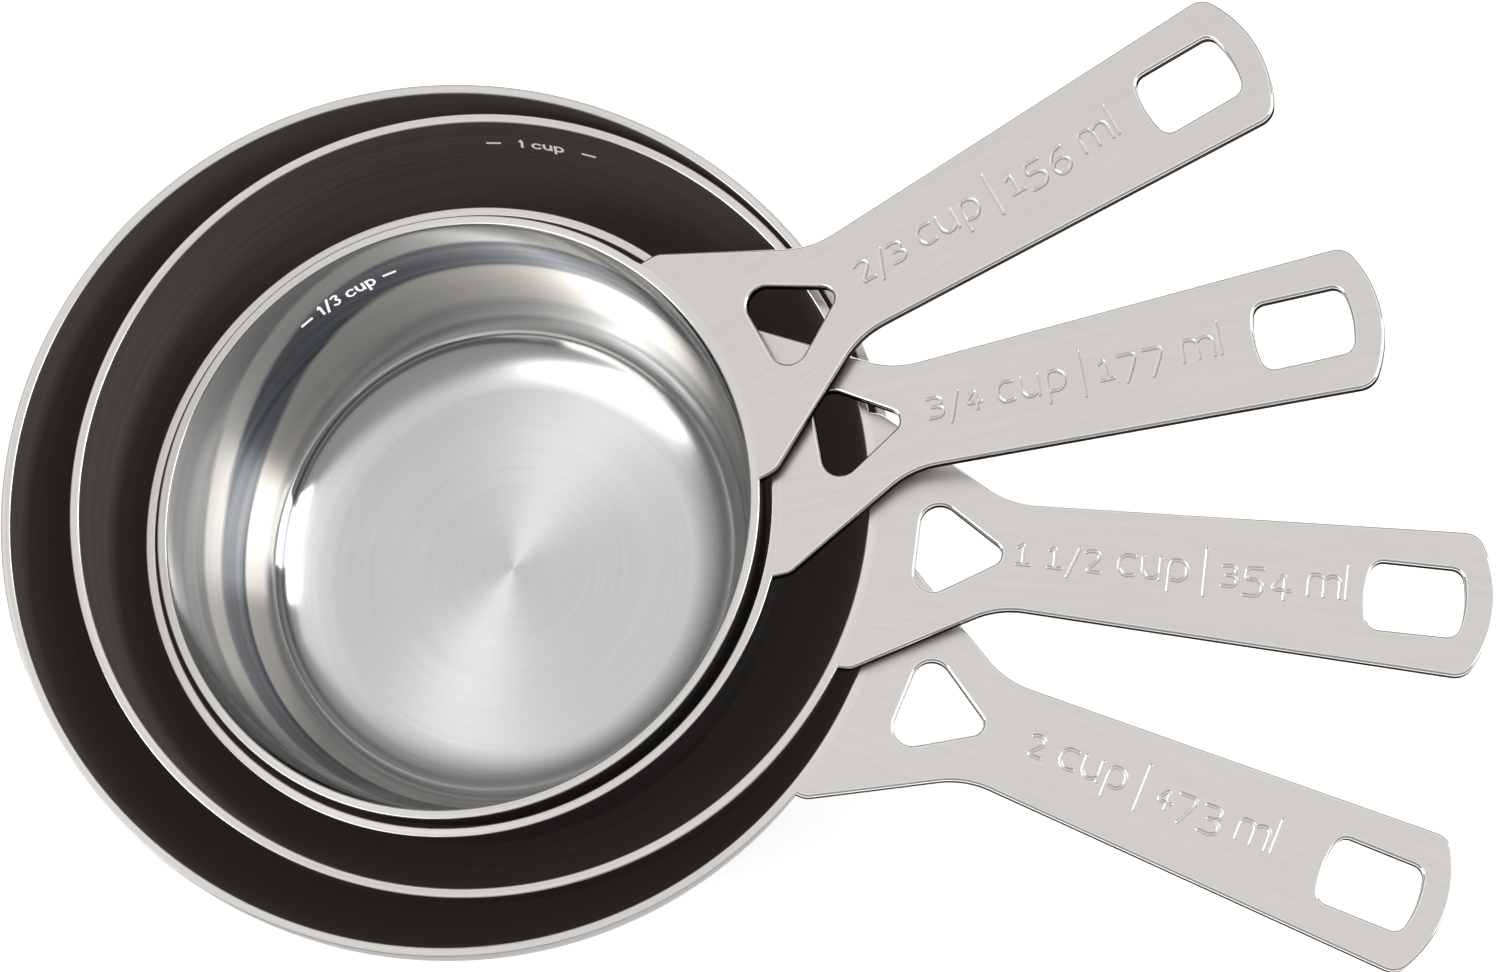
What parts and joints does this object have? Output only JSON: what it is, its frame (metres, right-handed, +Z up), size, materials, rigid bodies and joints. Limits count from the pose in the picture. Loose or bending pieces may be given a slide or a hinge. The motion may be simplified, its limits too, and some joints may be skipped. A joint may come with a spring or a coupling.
{
  "type": "measuring cup set",
  "caption": "Nested set of round stainless steel measuring cups, each a deep straight-rimmed bowl with a flat forked handle that has a triangular window and a hang hole.",
  "frame": {"origin": "middle of the flat underside of the largest (473 ml) bowl, on the surface it stands on", "axes": "+Z up; +X out along the fanned handles; +Y towards the back, to the left of the handles seen from above"},
  "size_m": [0.2079, 0.1338, 0.0685],
  "materials": {
    "bowl_steel": "polished inside, fine concentric brushing on rim and floor",
    "handle_steel": "satin, brushed lengthwise, polished edges"
  },
  "bodies": {
    "cup_473": {"bowl_473": "bowl_steel", "handle_473": "handle_steel"},
    "cup_354": {"bowl_354": "bowl_steel", "handle_354": "handle_steel"},
    "cup_177": {"bowl_177": "bowl_steel", "handle_177": "handle_steel"},
    "cup_156": {"bowl_156": "bowl_steel", "handle_156": "handle_steel"}
  },
  "joints": [
    {"name": "lift_354", "type": "slide", "parent": "cup_473", "child": "cup_354", "axis": [0, 0, 1], "range_m": [0, 0.06]},
    {"name": "lift_177", "type": "slide", "parent": "cup_354", "child": "cup_177", "axis": [-0.0523, 0.0211, 0.9984], "range_m": [0, 0.055]},
    {"name": "lift_156", "type": "slide", "parent": "cup_177", "child": "cup_156", "axis": [-0.1909, 0.0355, 0.981], "range_m": [0, 0.045]}
  ]
}
